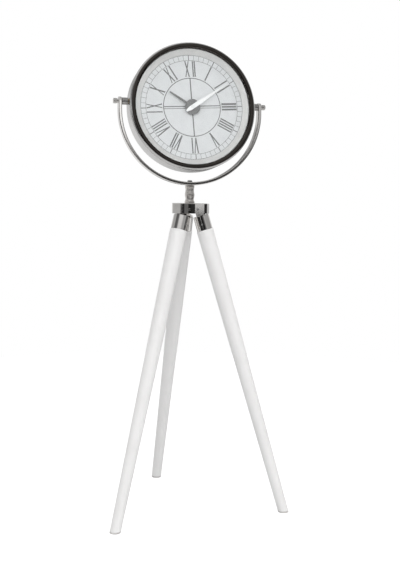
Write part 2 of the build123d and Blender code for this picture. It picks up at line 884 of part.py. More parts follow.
with BuildPart() as rear_cover_screws:
    screw_head_back = drum_back - cover_thickness - cover_screw_head_height
    for start, radius, length in (
        (screw_head_back, cover_screw_head_radius, cover_screw_head_height),
        (screw_head_back, cover_screw_radius, cover_screw_head_height + cover_screw_length),
    ):
        with BuildSketch(drum_plane.offset(start)):
            with PolarLocations(
                cover_screw_circle, cover_screw_count, start_angle=cover_screw_angle
            ):
                Circle(radius)
        extrude(amount=length)
    with BuildSketch(drum_plane.offset(screw_head_back)):
        with PolarLocations(
            cover_screw_circle, cover_screw_count, start_angle=cover_screw_angle
        ):
            cross(screw_recess_length, screw_recess_width)
    extrude(amount=screw_recess_depth, mode=Mode.SUBTRACT)
rear_cover_screws.part.label = "rear_cover_screws"
export_step(rear_cover_screws.part, "parts/rear_cover_screws.step")

# Where the movement's arbors stand
hour_module = gear_module * (cannon_teeth + motion_teeth) / (motion_pinion_teeth + hour_teeth)
centre_distance = gear_module * (centre_teeth + train_pinion_teeth) / 2
rotor_distance = gear_module * (intermediate_teeth + train_pinion_teeth) / 2
motion_distance = gear_module * (cannon_teeth + motion_teeth) / 2
setting_distance = gear_module * (motion_teeth + setting_teeth) / 2
intermediate_place = polar(centre_distance, intermediate_direction)
rotor_step = polar(rotor_distance, rotor_direction)
rotor_place = (intermediate_place[0] + rotor_step[0], intermediate_place[1] + rotor_step[1])
motion_place = polar(motion_distance, motion_direction)
setting_step = polar(setting_distance, setting_direction)
setting_place = (motion_place[0] + setting_step[0], motion_place[1] + setting_step[1])
case_inner_back = case_back + case_wall
bay_bottom = -case_size / 2 + bay_floor_wall
bay_middle = bay_bottom + bay_height / 2
bay_top = bay_bottom + bay_height
case_inner = case_size - 2 * case_wall
room_bottom = bay_top + bay_partition
room_height = case_size / 2 - case_wall - room_bottom

# The movement's rear case, with a room for the gears and a battery bay open to the rear
with BuildPart() as movement_case:
    with BuildSketch(drum_plane.offset(case_back)):
        RectangleRounded(case_size, case_size, case_corner)
    extrude(amount=case_front - case_back)
    with BuildSketch(drum_plane.offset(case_inner_back)):
        with Locations((0, room_bottom)):
            Rectangle(case_inner, room_height, align=(Align.CENTER, Align.MIN))
    extrude(amount=case_front - case_inner_back, mode=Mode.SUBTRACT)
    with BuildSketch(drum_plane.offset(case_back)):
        with Locations((0, bay_middle)):
            Rectangle(case_inner, bay_height)
    extrude(amount=case_front - case_back, mode=Mode.SUBTRACT)
    for place, radius in (
        ((0, 0), arbor_radius),
        (intermediate_place, fine_arbor_radius),
        (rotor_place, fine_arbor_radius),
    ):
        rod(
            arbor_plane(*place).offset(case_inner_back),
            radius + running_clearance,
            -bearing_depth,
            Mode.SUBTRACT,
        )
    rod(
        arbor_plane(*setting_place).offset(case_inner_back),
        arbor_radius + running_clearance,
        -case_wall,
        Mode.SUBTRACT,
    )
movement_case.part.label = "movement_case"
export_step(movement_case.part, "parts/movement_case.step")

# The movement's front cover, with the neck that holds it to the dial
with BuildPart() as movement_cover:
    with BuildSketch(drum_plane.offset(case_front)):
        RectangleRounded(case_size, case_size, case_corner)
    extrude(amount=cover_plate)
    rod(drum_plane.offset(case_front), neck_radius, neck_front - case_front)
    rod(
        drum_plane.offset(case_front),
        hour_pipe_radius + neck_bore_clearance,
        neck_front - case_front,
        Mode.SUBTRACT,
    )
    rod(
        arbor_plane(*motion_place).offset(motion_layer - motion_post_end),
        motion_post_radius,
        case_front - motion_layer + motion_post_end,
    )
    for place, radius in (
        (intermediate_place, fine_arbor_radius),
        (rotor_place, fine_arbor_radius),
        (setting_place, arbor_radius),
    ):
        rod(
            arbor_plane(*place).offset(case_front),
            radius + running_clearance,
            bearing_depth,
            Mode.SUBTRACT,
        )
movement_cover.part.label = "movement_cover"
export_step(movement_cover.part, "parts/movement_cover.step")

# The washer and nut on the movement's neck
with BuildPart() as movement_washer:
    with BuildSketch(drum_plane.offset(dial_front)):
        Circle(washer_radius)
        Circle(neck_radius, mode=Mode.SUBTRACT)
    extrude(amount=washer_thickness)
movement_washer.part.label = "movement_washer"
export_step(movement_washer.part, "parts/movement_washer.step")

with BuildPart() as movement_nut:
    with BuildSketch(drum_plane.offset(dial_front + washer_thickness)):
        RegularPolygon(nut_across_flats / 2, nut_sides, major_radius=False)
        Circle(neck_radius, mode=Mode.SUBTRACT)
    extrude(amount=nut_thickness)
movement_nut.part.label = "movement_nut"
export_step(movement_nut.part, "parts/movement_nut.step")

# The gear train, with every pair in mesh as drawn
arbor_start = case_inner_back - bearing_depth
arbor_end = case_front + bearing_depth
pinion_face = gear_thickness + 2 * pinion_overlap
cannon_turn = 0
motion_turn = mesh_turn(motion_direction, cannon_teeth, cannon_turn, motion_teeth)
motion_pinion_turn = motion_direction + half_turn
hour_turn = mesh_turn(
    motion_direction + half_turn, motion_pinion_teeth, motion_pinion_turn, hour_teeth
)
setting_turn = mesh_turn(setting_direction, motion_teeth, motion_turn, setting_teeth)
centre_turn = intermediate_direction
intermediate_pinion_turn = mesh_turn(
    intermediate_direction, centre_teeth, centre_turn, train_pinion_teeth
)
intermediate_turn = rotor_direction
rotor_turn = mesh_turn(
    rotor_direction, intermediate_teeth, intermediate_turn, train_pinion_teeth
)

with BuildPart() as minute_arbor:
    rod(drum_plane.offset(arbor_start), arbor_radius, minute_hand_back - arbor_start)
    rod(
        drum_plane.offset(minute_hand_back),
        arbor_radius,
        hand_thickness + cap_height / 2,
    )
    toothed(
        drum_plane.offset(motion_layer - pinion_overlap),
        cannon_teeth,
        gear_module,
        cannon_turn,
        pinion_face,
    )
minute_arbor.part.label = "minute_arbor"
export_step(minute_arbor.part, "parts/minute_arbor.step")

with BuildPart() as motion_wheel:
    motion_plane = arbor_plane(*motion_place)
    toothed(
        motion_plane.offset(motion_layer),
        motion_teeth,
        gear_module,
        motion_turn,
        gear_thickness,
    )
    toothed(
        motion_plane.offset(motion_layer + gear_thickness),
        motion_pinion_teeth,
        hour_module,
        motion_pinion_turn,
        hour_layer - motion_layer + pinion_overlap,
    )
    rod(
        motion_plane.offset(motion_layer),
        motion_post_radius + running_clearance,
        case_front - motion_layer,
        Mode.SUBTRACT,
    )
motion_wheel.part.label = "motion_wheel"
export_step(motion_wheel.part, "parts/motion_wheel.step")

with BuildPart() as hour_wheel:
    toothed(
        drum_plane.offset(hour_layer), hour_teeth, hour_module, hour_turn, gear_thickness
    )
    rod(drum_plane.offset(hour_layer), hour_pipe_radius, hour_pipe_front - hour_layer)
    rod(
        drum_plane.offset(hour_layer),
        arbor_radius + running_clearance,
        hour_pipe_front - hour_layer,
        Mode.SUBTRACT,
    )
hour_wheel.part.label = "hour_wheel"
export_step(hour_wheel.part, "parts/hour_wheel.step")

with BuildPart() as centre_wheel:
    toothed(
        drum_plane.offset(centre_layer),
        centre_teeth,
        gear_module,
        centre_turn,
        gear_thickness,
    )
    rod(
        drum_plane.offset(centre_layer),
        arbor_radius + running_clearance,
        gear_thickness,
        Mode.SUBTRACT,
    )
centre_wheel.part.label = "centre_wheel"
export_step(centre_wheel.part, "parts/centre_wheel.step")

with BuildPart() as intermediate_wheel:
    intermediate_plane = arbor_plane(*intermediate_place)
    rod(
        intermediate_plane.offset(arbor_start), fine_arbor_radius, arbor_end - arbor_start
    )
    toothed(
        intermediate_plane.offset(intermediate_layer),
        intermediate_teeth,
        gear_module,
        intermediate_turn,
        gear_thickness,
    )
    toothed(
        intermediate_plane.offset(intermediate_layer + gear_thickness),
        train_pinion_teeth,
        gear_module,
        intermediate_pinion_turn,
        centre_layer - intermediate_layer + pinion_overlap,
    )
intermediate_wheel.part.label = "intermediate_wheel"
export_step(intermediate_wheel.part, "parts/intermediate_wheel.step")

with BuildPart() as rotor:
    rotor_plane = arbor_plane(*rotor_place)
    rod(rotor_plane.offset(arbor_start), fine_arbor_radius, arbor_end - arbor_start)
    rod(rotor_plane.offset(rotor_back), rotor_radius, rotor_front - rotor_back)
    toothed(
        rotor_plane.offset(rotor_front),
        train_pinion_teeth,
        gear_module,
        rotor_turn,
        intermediate_layer + gear_thickness + pinion_overlap - rotor_front,
    )
rotor.part.label = "rotor"
export_step(rotor.part, "parts/rotor.step")

with BuildPart() as setting_knob:
    setting_plane = arbor_plane(*setting_place)
    knob_front = case_back - setting_knob_gap
    rod(setting_plane.offset(knob_front), arbor_radius, arbor_end - knob_front)
    toothed(
        setting_plane.offset(motion_layer - pinion_overlap),
        setting_teeth,
        gear_module,
        setting_turn,
        pinion_face,
    )
    with BuildSketch(setting_plane.offset(knob_front)):
        Circle(setting_knob_radius)
        with PolarLocations(setting_knob_radius, setting_flutes):
            Circle(flute_radius, mode=Mode.SUBTRACT)
    extrude(amount=-setting_knob_thickness)
setting_knob.part.label = "setting_knob"
export_step(setting_knob.part, "parts/setting_knob.step")

# The stepping motor: a flat stator loop, and a coil on its top bar
board_left = case_inner / 2 - board_side_margin - board_width
board_bottom = case_inner / 2 - board_top_margin - board_height
stator_left = stator_side_margin - case_inner / 2
stator_right = board_left - stator_board_gap
stator_top = case_inner / 2 - stator_top_margin
stator_back = rotor_back + stator_lift
stator_middle = stator_back + stator_thickness / 2
bar_height = stator_top - stator_bar / 2
coil_left = (stator_left + stator_right - coil_length) / 2
with BuildPart() as stator:
    with BuildSketch(drum_plane.offset(stator_back)):
        with BuildLine():
            Polyline(
                (stator_left, stator_top),
                (stator_right, stator_top),
                (stator_right, rotor_place[1] - stator_bar / 2),
                (stator_left, rotor_place[1] - stator_bar / 2),
                close=True,
            )
        make_face()
        with BuildLine():
            Polyline(
                (stator_left + stator_bar, stator_top - stator_bar),
                (stator_right - stator_bar, stator_top - stator_bar),
                (stator_right - stator_bar, rotor_place[1] + stator_bar / 2),
                (stator_left + stator_bar, rotor_place[1] + stator_bar / 2),
                close=True,
            )
        make_face(mode=Mode.SUBTRACT)
        with Locations(rotor_place):
            Circle(rotor_radius + rotor_hole_clearance + rotor_ring_wall)
            Circle(rotor_radius + rotor_hole_clearance, mode=Mode.SUBTRACT)
    extrude(amount=stator_thickness)
stator.part.label = "stator"
export_step(stator.part, "parts/stator.step")

coil_plane = Plane(
    drum_plane.origin
    + drum_plane.x_dir * coil_left
    + drum_plane.y_dir * bar_height
    + drum_plane.z_dir * stator_middle,
    x_dir=head_facing,
    z_dir=yoke_x,
)
with BuildPart() as coil_bobbin:
    rod(coil_plane, bobbin_core_radius, coil_length)
    rod(coil_plane, bobbin_radius, bobbin_flange)
    rod(coil_plane.offset(coil_length - bobbin_flange), bobbin_radius, bobbin_flange)
    with BuildSketch(coil_plane):
        Rectangle(stator_thickness + 2 * core_clearance, stator_bar + 2 * core_clearance)
    extrude(amount=coil_length, mode=Mode.SUBTRACT)
coil_bobbin.part.label = "coil_bobbin"
export_step(coil_bobbin.part, "parts/coil_bobbin.step")

with BuildPart() as coil_winding:
    winding_length = coil_length - 2 * bobbin_flange
    rod(
        coil_plane.offset(bobbin_flange), bobbin_radius - winding_setback, winding_length
    )
    rod(
        coil_plane.offset(bobbin_flange), bobbin_core_radius, winding_length, Mode.SUBTRACT
    )
coil_winding.part.label = "coil_winding"
export_step(coil_winding.part, "parts/coil_winding.step")

with BuildPart() as circuit_board:
    with BuildSketch(drum_plane.offset(case_inner_back)):
        with Locations((board_left, board_bottom)):
            Rectangle(board_width, board_height, align=(Align.MIN, Align.MIN))
    extrude(amount=board_thickness)
    chip_place = (board_left + board_width / 2, board_bottom + board_height / 2)
    rod(
        arbor_plane(*chip_place).offset(case_inner_back + board_thickness),
        chip_radius,
        chip_height,
    )
circuit_board.part.label = "circuit_board"
export_step(circuit_board.part, "parts/circuit_board.step")

# The battery and its two contacts, in the bay
bay_depth_middle = (case_back + case_front) / 2
contact_reach = case_inner / 2
battery_left = -battery_length / 2 - battery_tip_length / 2
battery_plane = Plane(
    drum_plane.origin
    + drum_plane.x_dir * battery_left
    + drum_plane.y_dir * bay_middle
    + drum_plane.z_dir * bay_depth_middle,
    x_dir=head_facing,
    z_dir=yoke_x,
)
with BuildPart() as battery:
    rod(battery_plane, battery_radius, battery_length)
    fillet(battery.edges().filter_by(GeomType.CIRCLE), radius=battery_edge)
    rod(battery_plane.offset(battery_length), battery_tip_radius, battery_tip_length)
battery.part.label = "battery"
export_step(battery.part, "parts/battery.step")

plus_gap = contact_reach - contact_thickness - (battery_left + battery_length)
plus_gap = plus_gap - battery_tip_length
minus_gap = battery_left + contact_reach - contact_thickness
for name, side, bump in (("plus", 1, plus_gap), ("minus", -1, minus_gap)):
    contact_plane = Plane(
        battery_plane.origin + drum_plane.x_dir * (side * contact_reach - battery_left),
        x_dir=head_facing,
        z_dir=yoke_x * -side,
    )
    with BuildPart() as contact:
        with BuildSketch(contact_plane):
            Rectangle(contact_width, contact_width)
        extrude(amount=contact_thickness)
        rod(contact_plane.offset(contact_thickness), contact_bump_radius, bump)
    contact.part.label = f"battery_{name}_contact"
    export_step(contact.part, f"parts/battery_{name}_contact.step")

# The hands, at the time that the photograph shows on a dial that sits slightly turned
twelve = quarter_turn + dial_turn
minute_angle = twelve - minute_shown * full_turn / minutes_in_hour
hour_angle = twelve - (hour_shown + minute_shown / minutes_in_hour) * (
    full_turn / hours_on_dial
)
minute_hand_length = reflector_foot_radius - minute_hand_margin
hour_hand_length = minute_hand_length - hour_hand_shortfall


def hand_plane(angle, depth):
    """A plane in front of the dial whose x runs along a hand."""
    along = drum_plane.x_dir * cos(radians(angle)) + drum_plane.y_dir * sin(radians(angle))
    place = drum_plane.origin + drum_plane.z_dir * depth
    return Plane(place, x_dir=along, z_dir=head_facing)


with BuildPart() as minute_hand:
    with BuildSketch(hand_plane(minute_angle, minute_hand_back)):
        with BuildLine():
            Polyline(
                *hand_points(minute_hand_length, minute_hand_width, minute_hand_shares),
                close=True,
            )
        make_face()
        Circle(minute_hand_boss)
        Circle(arbor_radius, mode=Mode.SUBTRACT)
    extrude(amount=hand_thickness)
minute_hand.part.label = "minute_hand"
export_step(minute_hand.part, "parts/minute_hand.step")

with BuildPart() as hour_hand:
    with BuildSketch(hand_plane(hour_angle, hour_hand_back)):
        with BuildLine():
            Polyline(
                *hand_points(hour_hand_length, hour_hand_width, hour_hand_shares),
                close=True,
            )
        make_face()
        Circle(hour_hand_boss)
        Circle(hour_pipe_radius, mode=Mode.SUBTRACT)
    extrude(amount=hand_thickness)
hour_hand.part.label = "hour_hand"
export_step(hour_hand.part, "parts/hour_hand.step")

with BuildPart() as hand_cap:
    rod(drum_plane.offset(cap_back), cap_radius, cap_height)
    fillet(hand_cap.faces().sort_by(drum_axis)[-1].edges(), radius=cap_edge)
    rod(drum_plane.offset(cap_back), arbor_radius, cap_height / 2, Mode.SUBTRACT)
hand_cap.part.label = "hand_cap"
export_step(hand_cap.part, "parts/hand_cap.step")
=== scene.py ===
import json
from math import cos, pi, radians, sin

import bmesh
import bpy
from mathutils import Matrix, Vector


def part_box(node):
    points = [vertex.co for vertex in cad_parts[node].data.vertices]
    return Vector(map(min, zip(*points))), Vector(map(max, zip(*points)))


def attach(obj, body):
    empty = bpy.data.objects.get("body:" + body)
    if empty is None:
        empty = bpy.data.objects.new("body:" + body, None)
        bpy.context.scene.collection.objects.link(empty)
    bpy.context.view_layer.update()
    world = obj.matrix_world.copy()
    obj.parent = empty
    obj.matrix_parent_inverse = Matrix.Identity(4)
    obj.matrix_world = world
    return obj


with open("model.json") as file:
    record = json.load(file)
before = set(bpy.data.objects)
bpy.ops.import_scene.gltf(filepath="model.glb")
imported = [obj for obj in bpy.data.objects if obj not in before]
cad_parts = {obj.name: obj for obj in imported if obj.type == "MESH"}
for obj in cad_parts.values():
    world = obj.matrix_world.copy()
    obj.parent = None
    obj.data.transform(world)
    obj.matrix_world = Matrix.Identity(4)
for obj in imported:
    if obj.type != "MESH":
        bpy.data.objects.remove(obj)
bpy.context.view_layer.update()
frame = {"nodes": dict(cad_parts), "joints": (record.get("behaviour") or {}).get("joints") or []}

print("frame loaded:", len(frame["nodes"]), "parts")

# where the clock's parts are, read from the frame
nodes = frame["nodes"]
joints = {joint["name"]: joint for joint in frame["joints"]}
mm = 0.001


def middle(node):
    low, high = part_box(node)
    return (low + high) / 2


# the tripod's upright axis, from the swivel joint
worldUp = Vector((0, 0, 1))
tripodAxis = Vector(joints["swivel"]["pos_m"])
tripodAxis.z = 0

# camera, placed as the photo was taken: metres, degrees, and pixels of the frame
cameraLook = {
    "distance": 1.30167,
    "height": 0.4536,
    "bearing": -19.313,
    "pan": 2.634,
    "pitch": 4.434,
    "roll": 0.987,
    "focalPixels": 905.4,
    "centrePixel": (230.2, 266.7),
    "frameSize": (400, 570),
    "sensor": 36.0,
    "clip": (0.01, 50),
}


def makeCamera(look):
    bearing = radians(look["bearing"])
    heading = radians(look["bearing"] - look["pan"])
    pitch = radians(look["pitch"])
    roll = radians(look["roll"])
    width, height = look["frameSize"]
    place = tripodAxis + Vector((sin(bearing), -cos(bearing), 0)) * look["distance"]
    place.z = look["height"]
    level = Vector((-sin(heading), cos(heading), 0))
    right = Vector((cos(heading), sin(heading), 0))
    forward = level * cos(pitch) - worldUp * sin(pitch)
    upright = worldUp * cos(pitch) + level * sin(pitch)
    sideways = right * cos(roll) + upright * sin(roll)
    upright = upright * cos(roll) - right * sin(roll)
    data = bpy.data.cameras.new("photoCamera")
    data.sensor_fit = "VERTICAL"
    data.sensor_height = look["sensor"]
    data.lens = look["focalPixels"] * look["sensor"] / height
    data.shift_x = (width / 2 - look["centrePixel"][0]) / height
    data.shift_y = (look["centrePixel"][1] - height / 2) / height
    data.clip_start, data.clip_end = look["clip"]
    camera = bpy.data.objects.new("photoCamera", data)
    bpy.context.scene.collection.objects.link(camera)
    turn = Matrix((sideways, upright, -forward)).transposed().to_4x4()
    camera.matrix_world = Matrix.Translation(place) @ turn
    bpy.context.scene.camera = camera
    return camera


camera = makeCamera(cameraLook)
bpy.context.scene.view_settings.view_transform = "Standard"
print("camera set")

# studio: a round white table top, a white backdrop behind and a dimmer room in front
studioLook = {
    "floorRadius": 1.3,
    "floorSegments": 128,
    "floorColour": (0.50, 0.50, 0.50, 1),
    "floorGlow": 0.72,
    "floorShine": 0.65,
    "backdrop": 0.95,
    "backdropEdge": (-0.15, 0.42),
    "roomLow": 0.035,
    "roomRise": (0.040, 0.082),
    "roomHigh": (0.88, 0.46),
    "roomFade": (2, 26),
    "strength": 0.70,
    "lampAim": 0.45,
    # soft boxes and flags round the clock: bearing in degrees, height as a sine, brightness
    "cards": (
        {"bearing": (-45, -36), "height": (-0.018, 0.05), "soft": (2, 0.003), "tone": 0.9},
        {"bearing": (-34, 0), "height": (-0.05, 0.28), "soft": (2, 0.03), "tone": 0.02},
        {"bearing": (-6, 12), "height": (0.14, 0.27), "soft": (6, 0.03), "tone": 0.20},
        {"bearing": (-2, 9), "height": (0.062, 0.12), "soft": (3, 0.012), "tone": 1.5},
        {"bearing": (-100, -44), "height": (0.30, 0.62), "soft": (14, 0.05), "tone": 0.15},
        {"bearing": (-150, -104), "height": (0.18, 0.50), "soft": (10, 0.06), "tone": 0.50},
        {"bearing": (68, 100), "height": (-0.30, 0.02), "soft": (6, 0.03), "tone": 0.18},
        {"bearing": (-200, -156), "height": (0.16, 0.60), "soft": (8, 0.06), "tone": 0.46},
        {"bearing": (-200, -156), "height": (-0.02, 0.16), "soft": (8, 0.03), "tone": 0.82},
        {"bearing": (120, 168), "height": (-0.60, -0.02), "soft": (8, 0.04), "tone": 0.15},
        {"bearing": (160, 200), "height": (0.18, 0.60), "soft": (6, 0.05), "tone": 0.28},
    ),
}


def nodeTree(owner):
    owner.use_nodes = True
    tree = owner.node_tree
    tree.nodes.clear()
    return tree


def addNode(tree, kind, inputs=None, **settings):
    node = tree.nodes.new(kind)
    for name, value in settings.items():
        setattr(node, name, value)
    for name, value in (inputs or {}).items():
        if isinstance(value, bpy.types.NodeSocket):
            tree.links.new(value, node.inputs[name])
        else:
            node.inputs[name].default_value = value
    return node


def maths(tree, operation, *values):
    return addNode(tree, "ShaderNodeMath", dict(enumerate(values)), operation=operation).outputs[0]


def makeFloor(look):
    mesh = bpy.data.meshes.new("tableTop")
    shape = bmesh.new()
    bmesh.ops.create_circle(shape, cap_ends=True, radius=look["floorRadius"],
                            segments=look["floorSegments"])
    shape.to_mesh(mesh)
    shape.free()
    floor = bpy.data.objects.new("tableTop", mesh)
    floor.location = tripodAxis
    bpy.context.scene.collection.objects.link(floor)
    material = bpy.data.materials.new("tableTop")
    tree = nodeTree(material)
    paint = addNode(tree, "ShaderNodeBsdfDiffuse", {"Color": look["floorColour"]})
    glow = addNode(tree, "ShaderNodeEmission", {"Strength": look["floorGlow"]})
    both = addNode(tree, "ShaderNodeAddShader", {0: paint.outputs[0], 1: glow.outputs[0]})
    path = addNode(tree, "ShaderNodeLightPath").outputs
    shine = maths(tree, "MULTIPLY", path["Is Glossy Ray"], look["floorShine"])
    seen = maths(tree, "MAXIMUM", path["Is Camera Ray"], shine)
    seen = maths(tree, "MAXIMUM", seen, path["Is Transmission Ray"])
    mix = addNode(tree, "ShaderNodeMixShader", {0: seen, 1: paint.outputs[0], 2: both.outputs[0]})
    addNode(tree, "ShaderNodeOutputMaterial", {"Surface": mix.outputs[0]})
    mesh.materials.append(material)
    return floor


def makeWorld(look):
    world = bpy.data.worlds.new("studio")
    bpy.context.scene.world = world
    tree = nodeTree(world)
    direction = addNode(tree, "ShaderNodeTexCoord")
    parts = addNode(tree, "ShaderNodeSeparateXYZ", {0: direction.outputs["Generated"]})
    across, deep, height = parts.outputs
    towards = maths(tree, "MULTIPLY", deep, -1)
    bearing = maths(tree, "DEGREES", maths(tree, "ARCTAN2", across, towards))

    def rise(source, start, end, low, high):
        return addNode(tree, "ShaderNodeMapRange",
                       {"Value": source, "From Min": start, "From Max": end,
                        "To Min": low, "To Max": high}, interpolation_type="SMOOTHSTEP").outputs[0]

    upper = rise(bearing, *look["roomFade"], *look["roomHigh"])
    lift = rise(height, *look["roomRise"], 0, 1)
    room = maths(tree, "MULTIPLY_ADD", lift, maths(tree, "SUBTRACT", upper, look["roomLow"]),
                 look["roomLow"])
    plain = maths(tree, "MAXIMUM", room, rise(deep, *look["backdropEdge"], 0, look["backdrop"]))
    tone = plain
    for card in look["cards"]:
        mask = None
        for source, edges, soft in ((bearing, card["bearing"], card["soft"][0]),
                                    (height, card["height"], card["soft"][1])):
            for edge, inside in zip(edges, (1, -1)):
                part = rise(source, edge - soft * inside, edge + soft * inside, 0, 1)
                mask = part if mask is None else maths(tree, "MULTIPLY", mask, part)
        tone = maths(tree, "MULTIPLY_ADD", mask, maths(tree, "SUBTRACT", card["tone"], tone), tone)
    # the camera and glass see white, gloss sees the cards, and the light on the clock is plain
    path = addNode(tree, "ShaderNodeLightPath").outputs
    seen = maths(tree, "MAXIMUM", path["Is Camera Ray"], path["Is Transmission Ray"])
    light = addNode(tree, "ShaderNodeBackground", {"Color": plain, "Strength": look["strength"]})
    shine = addNode(tree, "ShaderNodeBackground", {"Color": tone, "Strength": 1})
    white = addNode(tree, "ShaderNodeBackground", {"Color": (1, 1, 1, 1), "Strength": 1})
    first = addNode(tree, "ShaderNodeMixShader",
                    {0: path["Is Glossy Ray"], 1: light.outputs[0], 2: shine.outputs[0]})
    last = addNode(tree, "ShaderNodeMixShader", {0: seen, 1: first.outputs[0], 2: white.outputs[0]})
    addNode(tree, "ShaderNodeOutputWorld", {"Surface": last.outputs[0]})


# lamps: large soft ones in front, at both sides and above
lampLook = {
    "key": {"from": (-0.8, -1.6, 1.15), "size": (1.9, 1.7), "watts": 17},
    "fill": {"from": (1.4, -1.2, 0.8), "size": (1.4, 1.4), "watts": 10.5},
    "front": {"from": (0.1, -1.9, 0.42), "size": (2.2, 0.7), "watts": 5.5},
    "top": {"from": (0.1, 0.2, 1.9), "size": (1.6, 1.6), "watts": 8},
}


def makeLamps(look, aimHeight):
    aim = tripodAxis + worldUp * aimHeight
    for name, lamp in look.items():
        data = bpy.data.lights.new(name, "AREA")
        data.shape = "RECTANGLE"
        data.size, data.size_y = lamp["size"]
        data.energy = lamp["watts"]
        item = bpy.data.objects.new(name, data)
        item.location = lamp["from"]
        item.rotation_euler = (aim - item.location).to_track_quat("-Z", "Y").to_euler()
        # metal reflects the room alone, so that no lamp's outline shows on it
        item.visible_glossy = False
        bpy.context.scene.collection.objects.link(item)


makeFloor(studioLook)
makeWorld(studioLook)
makeLamps(lampLook, studioLook["lampAim"])
print("studio lit")


def reach(node, direction):
    item = nodes[node]
    return max((item.matrix_world @ vertex.co).dot(direction) for vertex in item.data.vertices)


# a surface is mapped along its piece's own axis, so that grain and turning marks follow it
def mapped(tree, item, centre, axis):
    inverse = item.matrix_world.inverted()
    turn = (inverse.to_3x3() @ axis).to_track_quat("Z", "Y").to_euler()
    place = addNode(tree, "ShaderNodeTexCoord").outputs["Object"]
    return addNode(tree, "ShaderNodeMapping",
                   {"Vector": place, "Location": inverse @ centre, "Rotation": turn},
                   vector_type="TEXTURE").outputs[0]


def noise(tree, place, scale, stretch=(1, 1, 1), detail=3.0, rough=0.55):
    place = addNode(tree, "ShaderNodeVectorMath", {0: place, 1: stretch}, operation="MULTIPLY")
    return addNode(tree, "ShaderNodeTexNoise",
                   {"Vector": place.outputs[0], "Scale": scale, "Detail": detail,
                    "Roughness": rough}).outputs[0]


def spread(tree, source, low, high, start=0.3, end=0.7):
    return addNode(tree, "ShaderNodeMapRange",
                   {"Value": source, "From Min": start, "From Max": end,
                    "To Min": low, "To Max": high}).outputs[0]


def mixed(tree, factor, first, second):
    colours = {0: factor, 6: first, 7: second}
    return addNode(tree, "ShaderNodeMix", colours, data_type="RGBA").outputs[2]


def bumped(tree, height, strength, depth):
    inputs = {"Height": height, "Strength": strength, "Distance": depth}
    return addNode(tree, "ShaderNodeBump", inputs).outputs[0]


# A finish has two tones that drift into each other, fine marks in its gloss, and a low relief.
# "grain" is the size of the marks, stretched by "stretch" across and along the piece.
def finish(name, look, item, centre=Vector(), axis=worldUp):
    material = bpy.data.materials.new(name)
    tree = nodeTree(material)
    place = mapped(tree, item, centre, axis)
    drift = noise(tree, place, 1 / look["drift"])
    marks = noise(tree, place, 1 / look["grain"], look.get("stretch", (1, 1, 1)))
    colour = mixed(tree, spread(tree, drift, 0, 1), look["light"], look["dark"])
    gloss = spread(tree, marks, *look["rough"])
    relief = bumped(tree, marks, look["relief"], look["grain"])
    inputs = {"Base Color": colour, "Roughness": gloss, "Normal": relief}
    inputs.update(look.get("shader", {}))
    shader = addNode(tree, "ShaderNodeBsdfPrincipled", inputs)
    addNode(tree, "ShaderNodeOutputMaterial", {"Surface": shader.outputs[0]})
    return material


def dress(item, material):
    item.data.materials.clear()
    item.data.materials.append(material)


def grey(value, warm=0.0):
    return (value * (1 + warm), value, value * (1 - warm), 1)


# the frame of the head: its facing direction, its up and right, and the middle of its dial
facing = -Vector(joints["minute_hand_turn"]["axis"]).normalized()
handAxis = Vector(joints["minute_hand_turn"]["pos_m"])
headRight = Vector(joints["head_tilt"]["axis"]).normalized()
headUp = facing.cross(headRight).normalized()
dialMiddle = handAxis + facing * (reach("dial", facing) - handAxis.dot(facing))
sides = ("rear", "left", "right")


def legLine(side):
    pin = Vector(joints[f"leg_{side}_fold"]["pos_m"])
    return pin, (middle(f"foot_pad_{side}") - pin).normalized()


# legs: turned wood under smooth white paint, with the grain just showing through
legPaint = {
    "light": grey(0.84, 0.004), "dark": grey(0.80, 0.008), "drift": 40 * mm,
    "grain": 0.5 * mm, "stretch": (1, 1, 0.05), "rough": (0.34, 0.46), "relief": 0.30,
    "shader": {"Coat Weight": 0.25, "Coat Roughness": 0.22, "IOR": 1.5},
}
footRubber = {
    "light": grey(0.62, 0.02), "dark": grey(0.52, 0.03), "drift": 6 * mm,
    "grain": 0.35 * mm, "rough": (0.70, 0.85), "relief": 0.35,
}
for side in sides:
    leg, pad = nodes[f"leg_{side}"], nodes[f"foot_pad_{side}"]
    dress(leg, finish(f"legPaint_{side}", legPaint, leg, *legLine(side)))
    dress(pad, finish(f"footRubber_{side}", footRubber, pad))
print("legs painted")


# bright metal of the tripod: cast hub, turned ferrules, pins
polished = {"Metallic": 1.0}
hubMetal = {
    "light": grey(0.60, 0.02), "dark": grey(0.54, 0.03), "drift": 9 * mm,
    "grain": 1.6 * mm, "rough": (0.04, 0.07), "relief": 0.004, "shader": polished,
}
ferruleMetal = {
    "light": grey(0.66, 0.02), "dark": grey(0.60, 0.03), "drift": 12 * mm,
    "grain": 0.30 * mm, "stretch": (0.04, 0.04, 1), "rough": (0.03, 0.07), "relief": 0.01,
    "shader": polished,
}
pinMetal = {
    "light": grey(0.55), "dark": grey(0.47), "drift": 1.5 * mm,
    "grain": 0.12 * mm, "rough": (0.22, 0.34), "relief": 0.08, "shader": polished,
}
hub = nodes["tripod_hub"]
dress(hub, finish("hubMetal", hubMetal, hub))
pins = nodes["leg_hinge_pins"]
dress(pins, finish("hingePinMetal", pinMetal, pins))
for side in sides:
    ferrule, crossPin = nodes[f"ferrule_{side}"], nodes[f"ferrule_pin_{side}"]
    dress(ferrule, finish(f"ferruleMetal_{side}", ferruleMetal, ferrule, *legLine(side)))
    dress(crossPin, finish(f"crossPinMetal_{side}", pinMetal, crossPin))
print("tripod metal done")


